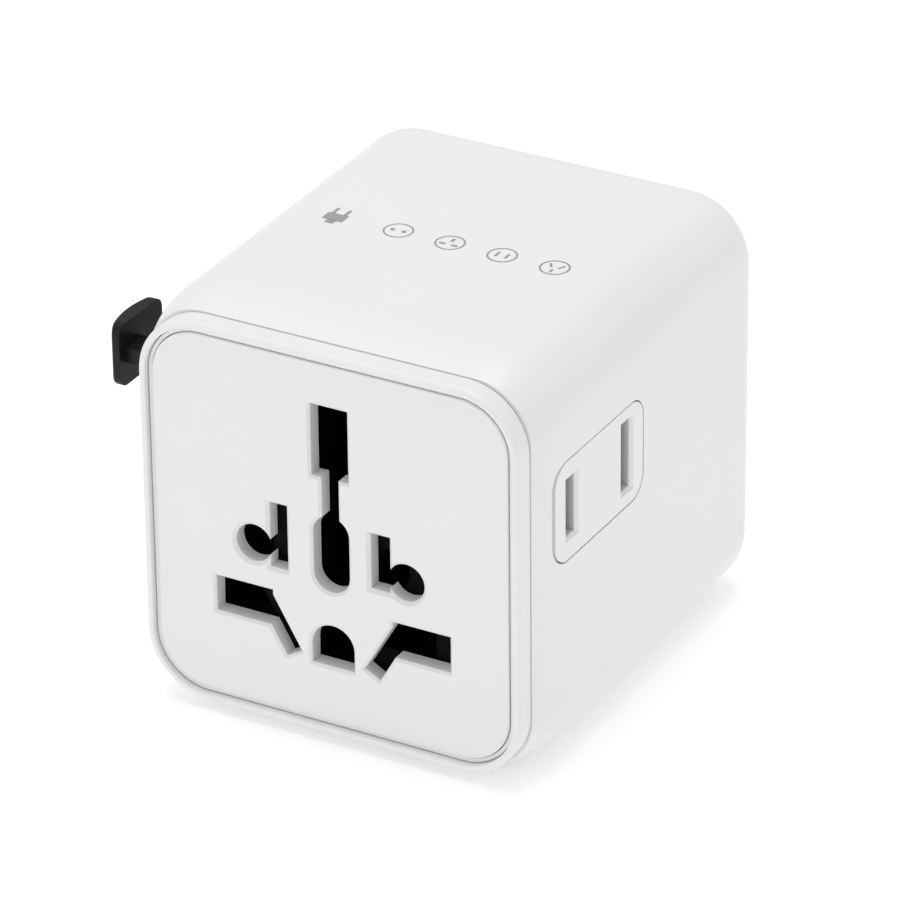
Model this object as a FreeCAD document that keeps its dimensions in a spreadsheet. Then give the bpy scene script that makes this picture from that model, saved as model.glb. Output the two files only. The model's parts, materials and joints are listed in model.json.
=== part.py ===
"""Universal travel adapter: a cube with a world socket in front, a two-blade outlet in the right side
and three sliding plugs (UK, EU, US/AU) that come out of the back.

Every piece is drawn in one working frame: X to the right, Y the depth behind the front face, Z up from
the middle of the body. The last step of each piece moves it so that the origin is the centre of the
flat bottom face. Millimetres throughout.
"""
import FreeCAD, Part
import math
import os
import Sketcher

doc = FreeCAD.newDocument("travel_adapter")

# ---------------------------------------------------------------- driving dimensions

DIMENSIONS = {
    # body
    "body_width": 49.5, "body_depth": 55.0, "corner_radius": 7.9, "rear_edge_radius": 4.4,
    "cavity_width": 44.7, "cavity_radius": 5.5, "rear_wall": 2.5,
    "front_inset": 1.2, "front_run": 6.4, "front_seam": 2.75,
    # bezel and socket face
    "bezel_width": 46.9, "bezel_radius": 7.4, "bezel_skirt_width": 44.3, "bezel_skirt_end": 3.8,
    "bezel_edge_radius": 0.5, "seam_gap": 0.15,
    "opening_width": 45.2, "opening_radius": 6.55, "opening_edge_radius": 0.15, "groove_depth": 0.75,
    "channel_width": 0.12, "channel_depth": 0.5,
    "face_width": 43.9, "face_radius": 5.9, "face_recess": 0.5, "face_thickness": 2.0,
    "face_edge_radius": 0.15, "ledge_width": 41.5,
    # socket openings in the face, heights from the middle of the body
    "us_pitch": 12.7, "us_level": -0.64, "us_live_height": 6.8, "us_live_width": 2.4,
    "us_neutral_height": 8.0, "us_neutral_width": 2.2, "us_eu_shift": -0.28,
    "eu_pitch": 19.0, "eu_level": -2.25, "eu_hole_radius": 2.25,
    "uk_pitch": 22.2, "uk_line_level": -9.7, "uk_line_width": 7.15, "uk_line_height": 4.4,
    "uk_earth_width": 4.6, "uk_earth_height": 8.7,
    "au_slot_width": 2.15, "au_slot_length": 7.35, "au_centre_x": 6.745, "au_centre_level": -11.6,
    "au_angle": 30.0, "au_earth_width": 4.5, "au_earth_height": 9.35, "au_earth_level": -1.175,
    "neck_width": 2.15, "wide_bevel": 0.4, "narrow_bevel": 0.3,
    "us_earth_width": 5.3, "us_earth_straight": 2.45, "us_earth_floor": -15.17,
    # shutter and socket block
    "shutter_front": 2.65, "shutter_thickness": 1.4, "shutter_travel": 3.0,
    "shutter_width": 33.0, "shutter_height": 36.4, "shutter_notch": 3.0, "shutter_spring_level": 9.0,
    "block_front": 4.2, "guide_depth": 5.3, "block_rear": 24.0,
    "block_width": 33.2, "block_floor": -18.5, "block_step": 4.5, "block_relief": 3.6,
    "tower_width": 11.0, "tower_top": 19.0, "block_wall": 1.2,
    # outlet in the right side
    "side_length": 20.5, "side_height": 12.4, "side_radius": 2.8, "side_centre": 16.1,
    "side_level": 6.8, "side_slot_level": 6.85, "side_pitch": 12.7,
    "side_live_height": 7.0, "side_neutral_height": 8.4, "side_slot_width": 2.2, "side_bevel": 0.4,
    "side_gap": 0.2, "side_recess": 0.03, "side_flange": 1.2, "side_flange_thickness": 0.9,
    # bulkhead, columns and back plate
    "bulkhead_front": 24.9, "bulkhead_thickness": 1.1, "bulkhead_width": 44.2,
    "column_radius": 2.2, "upper_column_x": 10.0, "upper_column_level": 18.0,
    "lower_column_x": 15.5, "lower_column_level": -17.0,
    "back_width": 40.2, "back_radius": 4.0, "back_thickness": 2.4, "back_gap": 0.12,
    "screw_radius": 1.0, "screw_head_radius": 1.9, "screw_head_height": 1.2, "screw_length": 9.0,
    # plug carriages
    "carriage_front": 26.6, "carriage_thickness": 5.0, "plug_travel": 19.5,
    "uk_earth_plug_level": 13.4, "uk_line_plug_level": -8.8,
    "eu_plug_level": -2.6, "us_plug_level": 4.6, "lane_half": 12.6,
    "uk_plug_out": 17.7, "eu_plug_out": 19.0, "us_plug_out": 17.0,
    "uk_pin_width": 6.35, "uk_pin_height": 4.0, "uk_earth_pin_height": 8.0,
    "eu_pin_radius": 2.0, "blade_height": 6.35, "blade_thickness": 1.5,
    "blade_hub_radius": 1.9, "blade_turn": 30.0, "pin_gap": 0.25, "running_gap": 0.05,
    # sliding knobs on the left side
    "uk_knob_level": 14.55, "us_knob_level": 5.4, "eu_knob_level": -4.0,
    "uk_knob_front": 3.7, "rear_knob_front": 26.0, "knob_length": 9.05, "knob_height": 7.6,
    "knob_inner_x": -28.05, "knob_edge": 1.0, "knob_bulge": 0.9, "knob_corner_radius": 1.4,
    "knob_rim_radius": 0.45,
    "stem_length": 3.5, "stem_height": 1.8, "stem_set_back": 1.1, "stem_end_x": -19.6,
    "slot_gap": 0.3, "spring_gap": 0.08, "head_outer_x": -22.1, "head_inner_x": -16.0,
    "head_depth": 4.6,
    "head_height": 4.0, "knob_slot_radius": 0.6,
    # conducting rails behind the bulkhead
    "rail_thickness": 0.6, "rail_front": 24.0, "rail_end": 46.0, "rail_gap": 0.15,
    # fuse
    "fuse_level": -14.6, "fuse_radius": 2.6, "fuse_length": 20.0, "fuse_front": 29.0,
    "fuse_cap_radius": 3.9, "fuse_shank_radius": 3.1,
}

sheet = doc.addObject("Spreadsheet::Sheet", "Dimensions")


class Size:
    """A length that knows both its number and the spreadsheet expression that gives it."""

    def __init__(self, value, text):
        self.value = float(value)
        self.text = text

    def __add__(self, other):
        other = as_size(other)
        return Size(self.value + other.value, f"({self.text} + {other.text})")

    def __sub__(self, other):
        other = as_size(other)
        return Size(self.value - other.value, f"({self.text} - {other.text})")

    def __mul__(self, factor):
        factor = as_size(factor)
        return Size(self.value * factor.value, f"({self.text} * {factor.text})")

    def __truediv__(self, divisor):
        divisor = as_size(divisor)
        return Size(self.value / divisor.value, f"({self.text} / {divisor.text})")

    def __neg__(self):
        return Size(-self.value, f"(-1 * {self.text})")

    def __radd__(self, other):
        return as_size(other) + self

    def __rsub__(self, other):
        return as_size(other) - self

    __rmul__ = __mul__


def as_size(value):
    return value if isinstance(value, Size) else Size(value, f"({value:g})")


class Names:
    """Lets a dimension be written as d.body_width."""

    def __getattr__(self, alias):
        return Size(DIMENSIONS[alias], f"Dimensions.{alias}")


d = Names()


def fill_sheet():
    for row, (alias, value) in enumerate(DIMENSIONS.items(), start=1):
        sheet.set(f"A{row}", alias)
        sheet.set(f"B{row}", str(value))
        sheet.setAlias(f"B{row}", alias)
    doc.recompute()


def bind(target, path, size):
    target.setExpression(path, as_size(size).text)


# ---------------------------------------------------------------- sketches and solid features

NODES = []


def finish_node(obj, name):
    """Give a finished piece its label and move it from the working frame to the final one."""
    obj.Label = name
    bind(obj, "Placement.Base.y", -d.body_depth / 2)
    bind(obj, "Placement.Base.z", d.body_width / 2)
    NODES.append(obj)
    return obj


def new_body(name):
    return doc.addObject("PartDesign::Body", name + "_body")


def sketch_on(body, name, role, x=0, y=0, offset=0, angle=0.0):
    """A sketch parallel to one of the body's origin planes, turned by angle in its own plane."""
    plane = [f for f in body.Origin.OriginFeatures if f.Role == role][0]
    sketch = body.newObject("Sketcher::SketchObject", name)
    sketch.AttachmentSupport = [(plane, "")]
    sketch.MapMode = "FlatFace"
    turn = FreeCAD.Rotation(FreeCAD.Vector(0, 0, 1), angle)
    sketch.AttachmentOffset = FreeCAD.Placement(FreeCAD.Vector(0, 0, 0), turn)
    for axis, size in (("x", x), ("y", y), ("z", offset)):
        bind(sketch, f"AttachmentOffset.Base.{axis}", size)
    return sketch


def facing_front(body, name, x, z, y, angle=0.0):
    """A sketch in the plane at depth y behind the front face, seen from the front."""
    return sketch_on(body, name, "XZ_Plane", x, z, -as_size(y), angle)


def facing_right(body, name, y, z, x):
    """A sketch in the plane at x, seen from the right."""
    return sketch_on(body, name, "YZ_Plane", y, z, x)


def constrain(sketch, *definition, size=None):
    index = sketch.addConstraint(Sketcher.Constraint(*definition))
    if size is not None:
        bind(sketch, f"Constraints[{index}]", size)


def draw_line(sketch, start, end):
    start_point = FreeCAD.Vector(start[0], start[1], 0)
    return sketch.addGeometry(Part.LineSegment(start_point, FreeCAD.Vector(end[0], end[1], 0)))


def draw_rectangle(sketch, width, height):
    """A rectangle centred on the sketch's origin."""
    width, height = as_size(width), as_size(height)
    u, v = width.value / 2, height.value / 2
    corners = [(-u, -v), (u, -v), (u, v), (-u, v)]
    sides = [draw_line(sketch, corners[i], corners[(i + 1) % 4]) for i in range(4)]
    for i in range(4):
        constrain(sketch, "Coincident", sides[i], 2, sides[(i + 1) % 4], 1)
        constrain(sketch, "Horizontal" if i % 2 == 0 else "Vertical", sides[i])
    constrain(sketch, "Symmetric", sides[0], 1, sides[2], 1, -1, 1)
    constrain(sketch, "DistanceX", sides[0], 1, sides[0], 2, width.value, size=width)
    constrain(sketch, "DistanceY", sides[1], 1, sides[1], 2, height.value, size=height)


def draw_rounded_rectangle(sketch, width, height, radius):
    """A rectangle with rounded corners, centred on the sketch's origin."""
    width, height, radius = as_size(width), as_size(height), as_size(radius)
    u, v, r = width.value / 2, height.value / 2, radius.value
    ends = [((-u + r, -v), (u - r, -v)), ((u, -v + r), (u, v - r)),
            ((u - r, v), (-u + r, v)), ((-u, v - r), (-u, -v + r))]
    sides = [draw_line(sketch, *pair) for pair in ends]
    centres = [(u - r, -v + r), (u - r, v - r), (-u + r, v - r), (-u + r, -v + r)]
    arcs = []
    for i, (cx, cy) in enumerate(centres):
        circle = Part.Circle(FreeCAD.Vector(cx, cy, 0), FreeCAD.Vector(0, 0, 1), r)
        start = math.radians(-90 + 90 * i)
        arcs.append(sketch.addGeometry(Part.ArcOfCircle(circle, start, start + math.pi / 2)))
    for i in range(4):
        constrain(sketch, "Tangent", sides[i], 2, arcs[i], 1)
        constrain(sketch, "Tangent", arcs[i], 2, sides[(i + 1) % 4], 1)
    for i in (0, 1):
        constrain(sketch, "Horizontal" if i == 0 else "Vertical", sides[i])
    for i in (1, 2, 3):
        constrain(sketch, "Equal", arcs[0], arcs[i])
    constrain(sketch, "Symmetric", arcs[0], 3, arcs[2], 3, -1, 1)
    constrain(sketch, "Radius", arcs[0], r, size=radius)
    constrain(sketch, "DistanceX", arcs[3], 3, arcs[0], 3, 2 * (u - r), size=width - radius * 2)
    constrain(sketch, "DistanceY", arcs[0], 3, arcs[1], 3, 2 * (v - r), size=height - radius * 2)


def draw_circle(sketch, radius):
    radius = as_size(radius)
    centre = FreeCAD.Vector(0, 0, 0)
    ring = sketch.addGeometry(Part.Circle(centre, FreeCAD.Vector(0, 0, 1), radius.value))
    constrain(sketch, "Coincident", ring, 3, -1, 1)
    constrain(sketch, "Radius", ring, radius.value, size=radius)


def draw_obround(sketch, width, height):
    """An upright slot with half-round ends, centred on the sketch's origin."""
    width, height = as_size(width), as_size(height)
    r, v = width.value / 2, (height - width).value / 2
    right = draw_line(sketch, (r, -v), (r, v))
    left = draw_line(sketch, (-r, v), (-r, -v))
    arcs = []
    for centre, start in ((v, 0), (-v, math.pi)):
        circle = Part.Circle(FreeCAD.Vector(0, centre, 0), FreeCAD.Vector(0, 0, 1), r)
        arcs.append(sketch.addGeometry(Part.ArcOfCircle(circle, start, start + math.pi)))
    loop = [right, arcs[0], left, arcs[1]]
    for i in range(4):
        constrain(sketch, "Tangent", loop[i], 2, loop[(i + 1) % 4], 1)
    constrain(sketch, "Vertical", right)
    constrain(sketch, "Symmetric", arcs[0], 3, arcs[1], 3, -1, 1)
    constrain(sketch, "Radius", arcs[0], r, size=width / 2)
    constrain(sketch, "DistanceY", arcs[1], 3, arcs[0], 3, 2 * v, size=height - width)


def draw_arch(sketch, width, straight):
    """A D lying on its flat: a rectangle under a half round, its flat edge on the sketch's origin."""
    width, straight = as_size(width), as_size(straight)
    u, v = width.value / 2, straight.value
    floor = draw_line(sketch, (-u, 0), (u, 0))
    right = draw_line(sketch, (u, 0), (u, v))
    circle = Part.Circle(FreeCAD.Vector(0, v, 0), FreeCAD.Vector(0, 0, 1), u)
    top = sketch.addGeometry(Part.ArcOfCircle(circle, 0, math.pi))
    left = draw_line(sketch, (-u, v), (-u, 0))
    constrain(sketch, "Coincident", floor, 2, right, 1)
    constrain(sketch, "Coincident", right, 2, top, 1)
    constrain(sketch, "Coincident", top, 2, left, 1)
    constrain(sketch, "Coincident", left, 2, floor, 1)
    constrain(sketch, "Vertical", right)
    constrain(sketch, "Vertical", left)
    constrain(sketch, "Symmetric", floor, 1, floor, 2, -1, 1)
    constrain(sketch, "Horizontal", top, 3, top, 1)
    constrain(sketch, "DistanceX", floor, 1, floor, 2, width.value, size=width)
    constrain(sketch, "DistanceY", right, 1, right, 2, straight.value, size=straight)


def extrude(body, sketch, kind, length, backward):
    feature = body.newObject("PartDesign::" + kind, sketch.Name + "_" + kind.lower())
    feature.Profile = (sketch, [""])
    feature.Reversed = backward
    bind(feature, "Length", length)
    return feature


def pad_back(body, sketch, length):
    """Raise a front-facing sketch away from the front."""
    return extrude(body, sketch, "Pad", length, True)


def cut_back(body, sketch, length):
    """Cut from a front-facing sketch away from the front."""
    return extrude(body, sketch, "Pocket", length, False)


def cut_left(body, sketch, length):
    """Cut from a right-facing sketch towards the left."""
    return extrude(body, sketch, "Pocket", length, False)


def edges_where(shape, test):
    return [f"Edge{i}" for i, edge in enumerate(shape.Edges, start=1) if test(edge)]


def round_edges(body, base, radius, test, kind="Fillet"):
    """Round or bevel the edges of a feature that pass a test."""
    doc.recompute()
    feature = body.newObject("PartDesign::" + kind, base.Name + "_" + kind.lower())
    feature.Base = (base, edges_where(base.Shape, test))
    bind(feature, "Radius" if kind == "Fillet" else "Size", radius)
    doc.recompute()
    return feature


def at_depth(y):
    """A test for edges that lie wholly at depth y."""
    depth = as_size(y).value
    return lambda edge: abs(edge.BoundBox.YMin - depth) < 1e-4 and abs(edge.BoundBox.YMax - depth) < 1e-4


# ---------------------------------------------------------------- primitives and booleans

def block(x, y, z, length, width, height):
    """A box with its centre at (x, y, z), sized along X, Y and Z."""
    box = doc.addObject("Part::Box", "block")
    for prop, size in (("Length", length), ("Width", width), ("Height", height)):
        bind(box, prop, size)
    for axis, centre, size in (("x", x, length), ("y", y, width), ("z", z, height)):
        bind(box, f"Placement.Base.{axis}", as_size(centre) - as_size(size) / 2)
    return box


def span(x, y, z):
    """A box between the low and high ends given for each axis."""
    ends = [(as_size(low), as_size(high)) for low, high in (x, y, z)]
    box = doc.addObject("Part::Box", "span")
    for prop, axis, (low, high) in zip(("Length", "Width", "Height"), "xyz", ends):
        bind(box, prop, high - low)
        bind(box, f"Placement.Base.{axis}", low)
    return box


def rod(x, y, z, radius, length, direction="y"):
    """A cylinder starting at (x, y, z) and running along +Y, or along +X."""
    cylinder = doc.addObject("Part::Cylinder", "rod")
    turns = {"y": FreeCAD.Rotation(FreeCAD.Vector(1, 0, 0), -90),
             "x": FreeCAD.Rotation(FreeCAD.Vector(0, 1, 0), 90)}
    cylinder.Placement = FreeCAD.Placement(FreeCAD.Vector(0, 0, 0), turns[direction])
    bind(cylinder, "Radius", radius)
    bind(cylinder, "Height", length)
    for axis, size in (("x", x), ("y", y), ("z", z)):
        bind(cylinder, f"Placement.Base.{axis}", size)
    return cylinder


def fuse(*pieces):
    if len(pieces) == 1:
        return pieces[0]
    result = doc.addObject("Part::MultiFuse", "joined")
    result.Shapes = list(pieces)
    result.Refine = True
    return result


def cut(base, *tools):
    result = doc.addObject("Part::Cut", "cut")
    result.Base = base
    result.Tool = fuse(*tools)
    result.Refine = True
    return result


def group(*pieces):
    result = doc.addObject("Part::Compound", "group")
    result.Links = list(pieces)
    return result


def soften(base, amount, test, kind="Fillet"):
    """Round or bevel the edges of a Part object that pass a test."""
    doc.recompute()
    result = doc.addObject("Part::" + kind, "softened")
    result.Base = base
    numbers = [i for i, edge in enumerate(base.Shape.Edges, start=1) if test(edge)]
    result.Edges = [(i, amount, amount) for i in numbers]
    return result


def coil(x, y, z, radius, wire_radius, length, turns):
    """A compression spring whose axis runs along +X from (x, y, z), a little short of its space."""
    helix = doc.addObject("Part::Helix", "coil_path")
    wire_end = doc.addObject("Part::Circle", "coil_wire")
    run = as_size(length) - (as_size(wire_radius) + d.spring_gap) * 2
    bind(helix, "Height", run)
    bind(helix, "Pitch", run / turns)
    bind(helix, "Radius", radius)
    bind(wire_end, "Radius", wire_radius)
    bind(wire_end, "Placement.Base.x", radius)
    sweep = doc.addObject("Part::Sweep", "coil")
    wire_end.Placement.Rotation = FreeCAD.Rotation(FreeCAD.Vector(1, 0, 0), 90)
    sweep.Sections = [wire_end]
    sweep.Spine = (helix, [])
    sweep.Solid = True
    sweep.Frenet = True
    sweep.Placement.Rotation = FreeCAD.Rotation(FreeCAD.Vector(0, 1, 0), 90)
    for axis, size in (("x", as_size(x) + wire_radius + d.spring_gap), ("y", y), ("z", z)):
        bind(sweep, f"Placement.Base.{axis}", size)
    return sweep


# ---------------------------------------------------------------- the socket openings

def both_sides(x):
    """The same distance to the left and to the right of the middle, with a name for each."""
    return (("neutral", -as_size(x)), ("live", as_size(x)))


def socket_openings(gap, shift=0, widen=0):
    """Each opening as (name, drawing function, x, z, angle). Gap enlarges every opening, shift moves the
    current-carrying ones sideways, and widen lengthens the earth ones towards the left by that much."""
    gap, shift, widen = as_size(gap), as_size(shift), as_size(widen)
    grow = gap * 2
    middle = -widen / 2
    openings = []
    for side, x in both_sides(d.us_pitch / 2):
        width = (d.us_neutral_width if side == "neutral" else d.us_live_width) + grow
        height = (d.us_neutral_height if side == "neutral" else d.us_live_height) + grow
        shape = lambda sketch, width=width, height=height: draw_rectangle(sketch, width, height)
        openings.append((f"us_{side}", shape, x + shift + d.us_eu_shift, d.us_level, 0))
    for side, x in both_sides(d.eu_pitch / 2):
        shape = lambda sketch: draw_circle(sketch, d.eu_hole_radius + gap)
        openings.append((f"eu_{side}", shape, x + shift + d.us_eu_shift, d.eu_level, 0))
    for side, x in both_sides(d.uk_pitch / 2):
        shape = lambda sketch: draw_rectangle(sketch, d.uk_line_width + grow, d.uk_line_height + grow)
        openings.append((f"uk_{side}", shape, x + shift, d.uk_line_level, 0))
    for side, x in both_sides(d.au_centre_x):
        shape = lambda sketch: draw_rectangle(sketch, d.au_slot_width + grow, d.au_slot_length + grow)
        lean = d.au_angle.value if side == "neutral" else -d.au_angle.value
        openings.append((f"au_{side}", shape, x + shift, d.au_centre_level, lean))
    earth_level = d.uk_line_level + d.uk_pitch
    neck_top = earth_level - d.uk_earth_height / 2 + 1
    neck_bottom = d.au_earth_level + d.au_earth_height / 2 - 1
    openings.append(("uk_earth", lambda sketch: draw_rectangle(
        sketch, d.uk_earth_width + grow + widen, d.uk_earth_height + grow), middle, earth_level, 0))
    openings.append(("neck", lambda sketch: draw_rectangle(
        sketch, d.neck_width + grow + widen, neck_top - neck_bottom),
        middle, (neck_top + neck_bottom) / 2, 0))
    draw_au_earth = draw_rectangle if widen.value else draw_obround
    openings.append(("au_earth", lambda sketch: draw_au_earth(
        sketch, d.au_earth_width + grow + widen, d.au_earth_height + grow), middle, d.au_earth_level, 0))
    openings.append(("us_earth", lambda sketch: draw_arch(
        sketch, d.us_earth_width + grow + widen, d.us_earth_straight + grow),
        middle, d.us_earth_floor - gap, 0))
    return openings


def cut_socket_openings(body, prefix, y, depth, gap, shift=0, widen=0):
    for name, shape, x, z, angle in socket_openings(gap, shift, widen):
        sketch = facing_front(body, f"{prefix}_{name}", x, z, y, angle)
        shape(sketch)
        last = cut_back(body, sketch, depth)
    return last


# ---------------------------------------------------------------- casing

def make_body_shell():
    body = new_body("body_shell")
    outline = facing_front(body, "shell_outline", 0, 0, d.front_seam)
    draw_rounded_rectangle(outline, d.body_width, d.body_width, d.corner_radius)
    solid = pad_back(body, outline, d.body_depth - d.front_seam)
    rounded = round_edges(body, solid, d.rear_edge_radius, at_depth(d.body_depth))

    path = facing_front(body, "shell_front_path", 0, 0, d.front_seam)
    draw_rounded_rectangle(path, d.body_width, d.body_width, d.corner_radius)
    profile = sketch_on(body, "shell_front_profile", "XY_Plane")
    draw_front_taper(profile)
    taper = body.newObject("PartDesign::SubtractivePipe", "shell_front_taper")
    taper.Profile = (profile, [""])
    taper.Spine = (path, [])

    cavity = facing_front(body, "shell_cavity", 0, 0, d.front_seam - 1)
    draw_rounded_rectangle(cavity, d.cavity_width, d.cavity_width, d.cavity_radius)
    cut_back(body, cavity, d.body_depth - d.rear_wall - d.front_seam + 1)
    rear = facing_front(body, "shell_rear_opening", 0, 0, d.body_depth - d.rear_wall - 1)
    opening = d.back_width + d.back_gap * 2
    draw_rounded_rectangle(rear, opening, opening, d.back_radius + d.back_gap)
    cut_back(body, rear, d.rear_wall + 2)

    side = facing_right(body, "shell_side_opening", d.side_centre, d.side_level, d.body_width / 2 + 1)
    draw_rounded_rectangle(side, d.side_length, d.side_height, d.side_radius)
    cut_left(body, side, (d.body_width - d.cavity_width) / 2 + 2)
    for plug, level, front in knob_places():
        start = front + d.stem_set_back - d.slot_gap
        length = d.stem_length + d.plug_travel + d.slot_gap * 2
        slot = facing_right(body, f"shell_{plug}_slot", start + length / 2, level, d.head_outer_x)
        draw_rounded_rectangle(slot, length, d.stem_height + d.slot_gap * 2, d.knob_slot_radius)
        cut_left(body, slot, d.body_width / 2 + d.head_outer_x + 1)
    finish_node(body, "body_shell")


def draw_front_taper(sketch):
    """The waste outside the gentle curve by which the casing narrows towards the bezel."""
    half, inset, run = d.body_width / 2, d.front_inset, d.front_run
    radius = (run * run + inset * inset) / (inset * 2)
    start, end = d.front_seam, d.front_seam + run
    x0, x1, y0, y1 = (half - inset).value, half.value, start.value, end.value
    circle = Part.Circle(FreeCAD.Vector(x1 - radius.value, y1, 0), FreeCAD.Vector(0, 0, 1), radius.value)
    begin = math.asin((y0 - y1) / radius.value)
    arc = sketch.addGeometry(Part.ArcOfCircle(circle, begin, 0))
    out = draw_line(sketch, (x1, y1), (x1 + 1, y1))
    down = draw_line(sketch, (x1 + 1, y1), (x1 + 1, y0 - 1))
    back = draw_line(sketch, (x1 + 1, y0 - 1), (x0, y0 - 1))
    close = draw_line(sketch, (x0, y0 - 1), (x0, y0))
    chain = [(arc, 2, out, 1), (out, 2, down, 1), (down, 2, back, 1), (back, 2, close, 1),
             (close, 2, arc, 1)]
    for link in chain:
        constrain(sketch, "Coincident", *link)
    constrain(sketch, "Horizontal", out)
    constrain(sketch, "Vertical", down)
    constrain(sketch, "Horizontal", back)
    constrain(sketch, "Vertical", close)
    constrain(sketch, "Horizontal", arc, 3, arc, 2)
    constrain(sketch, "DistanceX", -1, 1, arc, 2, x1, size=half)
    constrain(sketch, "DistanceY", -1, 1, arc, 2, y1, size=end)
    constrain(sketch, "DistanceX", -1, 1, arc, 1, x0, size=half - inset)
    constrain(sketch, "DistanceY", -1, 1, arc, 1, y0, size=start)
    constrain(sketch, "DistanceX", out, 1, out, 2, 1)
    constrain(sketch, "DistanceY", down, 2, arc, 1, 1)


def make_front_ring():
    body = new_body("front_ring")
    outline = facing_front(body, "ring_outline", 0, 0, 0)
    draw_rounded_rectangle(outline, d.bezel_width, d.bezel_width, d.bezel_radius)
    band = pad_back(body, outline, d.front_seam - d.seam_gap)
    round_edges(body, band, d.bezel_edge_radius, at_depth(0))
    skirt = facing_front(body, "ring_skirt", 0, 0, d.front_seam - d.seam_gap - 0.5)
    draw_rounded_rectangle(skirt, d.bezel_skirt_width, d.bezel_skirt_width, d.cavity_radius - 0.2)
    pad_back(body, skirt, d.bezel_skirt_end - d.front_seam + d.seam_gap + 0.5)
    opening = facing_front(body, "ring_opening", 0, 0, 0)
    draw_rounded_rectangle(opening, d.opening_width, d.opening_width, d.opening_radius)
    groove = cut_back(body, opening, d.groove_depth)
    limit = d.opening_width.value / 2 + 0.05

    def inner_rim(edge):
        box = edge.BoundBox
        reach = max(-box.XMin, box.XMax, -box.ZMin, box.ZMax)
        return at_depth(0)(edge) and reach < limit

    round_edges(body, groove, d.opening_edge_radius, inner_rim)
    channel = facing_front(body, "ring_channel", 0, 0, d.groove_depth)
    draw_rounded_rectangle(channel, d.opening_width, d.opening_width, d.opening_radius)
    inner = d.opening_width - d.channel_width * 2
    draw_rounded_rectangle(channel, inner, inner, d.opening_radius - d.channel_width)
    cut_back(body, channel, d.channel_depth)
    window = facing_front(body, "ring_window", 0, 0, -1)
    gap = 0.1
    width = d.face_width + gap * 2
    draw_rounded_rectangle(window, width, width, d.face_radius + gap)
    cut_back(body, window, d.face_recess + d.face_thickness + 1)
    inside = facing_front(body, "ring_inside", 0, 0, 0)
    draw_rounded_rectangle(inside, d.ledge_width, d.ledge_width, d.face_radius - 1.5)
    cut_back(body, inside, d.bezel_skirt_end + 1)
    finish_node(body, "front_ring")


def make_socket_plate():
    body = new_body("socket_plate")
    outline = facing_front(body, "plate_outline", 0, 0, d.face_recess)
    draw_rounded_rectangle(outline, d.face_width, d.face_width, d.face_radius)
    pad_back(body, outline, d.face_thickness)
    last = cut_socket_openings(body, "plate", d.face_recess, d.face_thickness + 1, 0)
    wide, narrow, rim = socket_edge_tests()
    bevelled = round_edges(body, last, d.wide_bevel, wide, "Chamfer")
    bevelled = round_edges(body, bevelled, d.narrow_bevel, narrow, "Chamfer")
    round_edges(body, bevelled, d.face_edge_radius, rim)
    finish_node(body, "socket_plate")


def socket_edge_tests():
    """Tests for the front edges of the US and EU openings, of all the other openings, and of the rim."""
    on_front = at_depth(d.face_recess)

    def rim(edge):
        box = edge.BoundBox
        return on_front(edge) and max(abs(box.Center.x), abs(box.Center.z)) > 18.0

    def wide(edge):
        box = edge.BoundBox
        near = 4.0 < abs(box.Center.x) < 12.5 and box.ZMin > d.uk_line_level.value + 3.2
        return on_front(edge) and near and box.ZMax < 5.0

    def narrow(edge):
        return on_front(edge) and not rim(edge) and not wide(edge)

    return wide, narrow, rim


def make_safety_shutter():
    body = new_body("safety_shutter")
    outline = facing_front(body, "shutter_outline", 0, 0.4, d.shutter_front)
    draw_rounded_rectangle(outline, d.shutter_width, d.shutter_height, 2.0)
    pad_back(body, outline, d.shutter_thickness)
    cut_socket_openings(body, "shutter", d.shutter_front - 0.5, d.shutter_thickness + 1, 0.2,
                        -d.shutter_travel, d.shutter_travel)
    notch = facing_front(body, "shutter_notch", d.shutter_width / 2, d.shutter_spring_level,
                         d.shutter_front - 0.5)
    draw_rectangle(notch, d.shutter_notch * 2, 1.6)
    cut_back(body, notch, d.shutter_thickness + 1)
    finish_node(body, "safety_shutter")


def make_shutter_spring():
    y = d.shutter_front + d.shutter_thickness / 2
    start = d.shutter_width / 2 - d.shutter_notch
    spring = coil(start, y, d.shutter_spring_level, 0.45, 0.11, d.ledge_width / 2 - start, 11)
    finish_node(group(spring), "shutter_spring")


def make_socket_block():
    body = new_body("socket_block")
    low_height = d.block_step - d.block_floor
    low = facing_front(body, "block_low", 0, (d.block_step + d.block_floor) / 2, d.block_front)
    draw_rectangle(low, d.block_width, low_height)
    pad_back(body, low, d.block_rear - 0.8 - d.block_front)
    tower_height = d.tower_top - d.block_step + 1
    tower = facing_front(body, "block_tower", 0, d.tower_top - tower_height / 2, d.block_front)
    draw_rectangle(tower, d.tower_width, tower_height)
    pad_back(body, tower, d.block_rear - 0.8 - d.block_front)
    relief_left, relief_right = 6.6, d.block_width / 2 + 1
    relief = facing_front(body, "block_relief", (relief_left + relief_right) / 2, d.block_relief + 1,
                          d.block_front - 0.5)
    draw_rectangle(relief, relief_right - relief_left, 2)
    cut_back(body, relief, d.block_rear)
    chamber = d.block_front + d.guide_depth
    wall = d.block_wall * 2
    low_top, low_bottom = d.block_relief - 0.9, d.block_floor + d.block_wall
    for name, width, height, level in (
            ("low", d.block_width - wall, low_top - low_bottom, (low_top + low_bottom) / 2),
            ("tower", d.tower_width - wall, tower_height, d.tower_top - tower_height / 2 - d.block_wall)):
        hollow = facing_front(body, f"block_{name}_chamber", 0, level, chamber)
        draw_rectangle(hollow, width, height)
        cut_back(body, hollow, d.block_rear - chamber + 1)
    cut_socket_openings(body, "block", d.block_front - 0.5, d.guide_depth + 1, 0.2)
    finish_node(body, "socket_block")


# ---------------------------------------------------------------- contacts

def mirrored(sign, low, high):
    """A range of X on the right side, or the same range mirrored to the left."""
    return (low, high) if sign > 0 else (-as_size(high), -as_size(low))


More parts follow.
